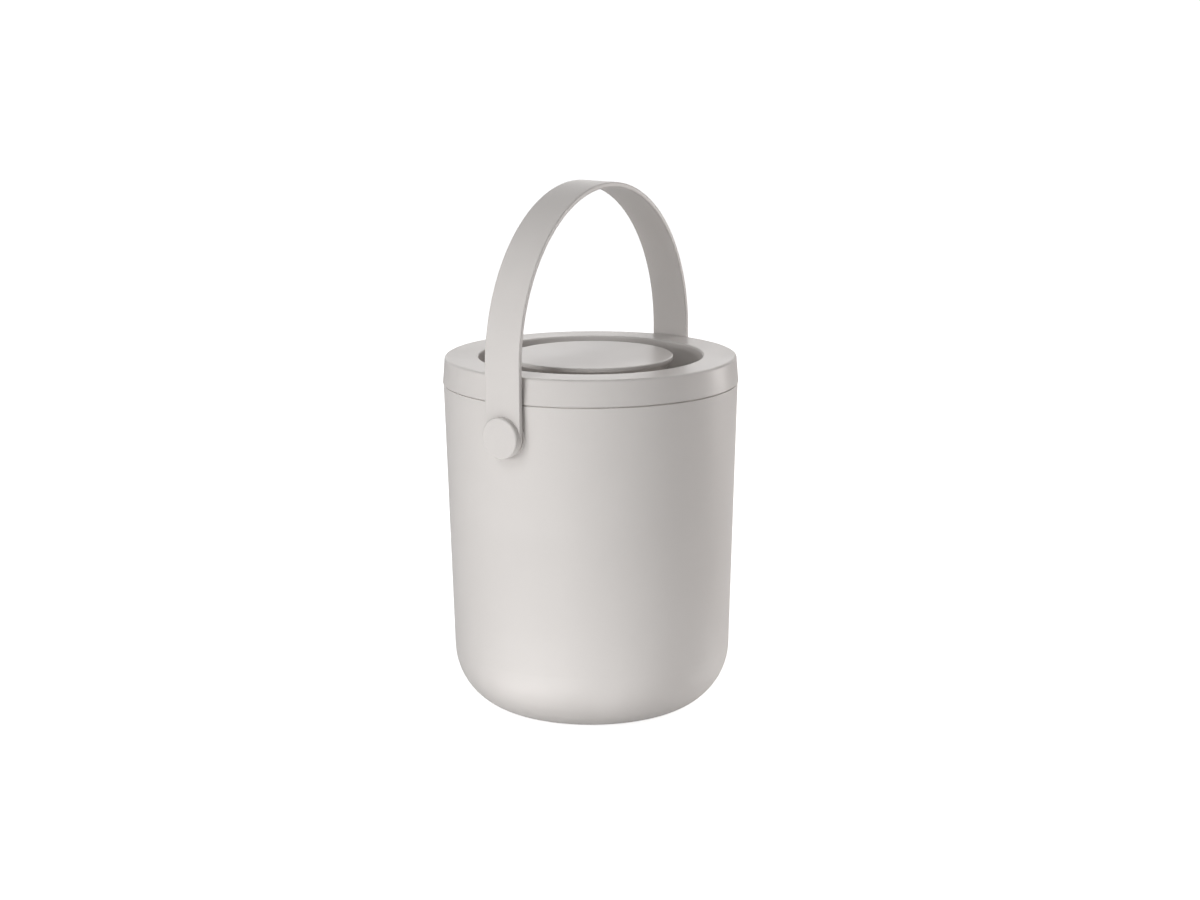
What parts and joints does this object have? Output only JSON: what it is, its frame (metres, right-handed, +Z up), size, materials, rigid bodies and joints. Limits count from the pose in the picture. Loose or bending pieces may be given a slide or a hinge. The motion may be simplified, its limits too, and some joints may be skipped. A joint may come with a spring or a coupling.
{
  "type": "waste bin",
  "caption": "Round countertop kitchen waste bin with a lift-off lid, recessed flared knob, charcoal filter in the lid and a swinging strap handle.",
  "frame": {"origin": "centre of the base, on the surface that the bin stands on", "axes": "+Z up through the lid and the handle's top; X along the handle's pivot line; Y across the strap's width"},
  "size_m": [0.1998, 0.184, 0.3326],
  "materials": {
    "bin_plastic": "fine matt grain",
    "lid_plastic": "fine matt grain",
    "knob_plastic": "fine matt grain",
    "strap_plastic": "fine matt grain",
    "cap_plastic": "fine matt grain",
    "cover_plastic": "matt",
    "acetal": "satin",
    "foot_silicone": "matt",
    "gasket_silicone": "satin",
    "charcoal_fleece": "felted",
    "steel": "plain",
    "brass": "plain"
  },
  "bodies": {
    "bin": {"bin_body": "bin_plastic", "foot_ring": "foot_silicone", "pivot_washer_left": "acetal", "pivot_bush_left": "acetal", "pivot_insert_left": "brass", "pivot_screw_left": "steel", "button_cap_left": "cap_plastic", "pivot_washer_right": "acetal", "pivot_bush_right": "acetal", "pivot_insert_right": "brass", "pivot_screw_right": "steel", "button_cap_right": "cap_plastic"},
    "handle": {"handle_strap": "strap_plastic"},
    "lid": {"lid_shell": "lid_plastic", "lid_gasket": "gasket_silicone", "knob": "knob_plastic", "knob_cap": "knob_plastic", "knob_screws": "steel"},
    "filter_cover": {"filter_cover": "cover_plastic", "charcoal_filter": "charcoal_fleece"}
  },
  "joints": [
    {"name": "handle_swing", "type": "hinge", "parent": "bin", "child": "handle", "pos_m": [0, 0, 0.1883], "axis": [1, 0, 0], "range_deg": [-135, 135]},
    {"name": "lid_lift", "type": "slide", "parent": "bin", "child": "lid", "axis": [0, 0, 1], "range_m": [0, 0.02]},
    {"name": "cover_twist", "type": "hinge", "parent": "lid", "child": "filter_cover", "pos_m": [0, 0, 0.188], "axis": [0, 0, 1], "range_deg": [0, 25]}
  ]
}
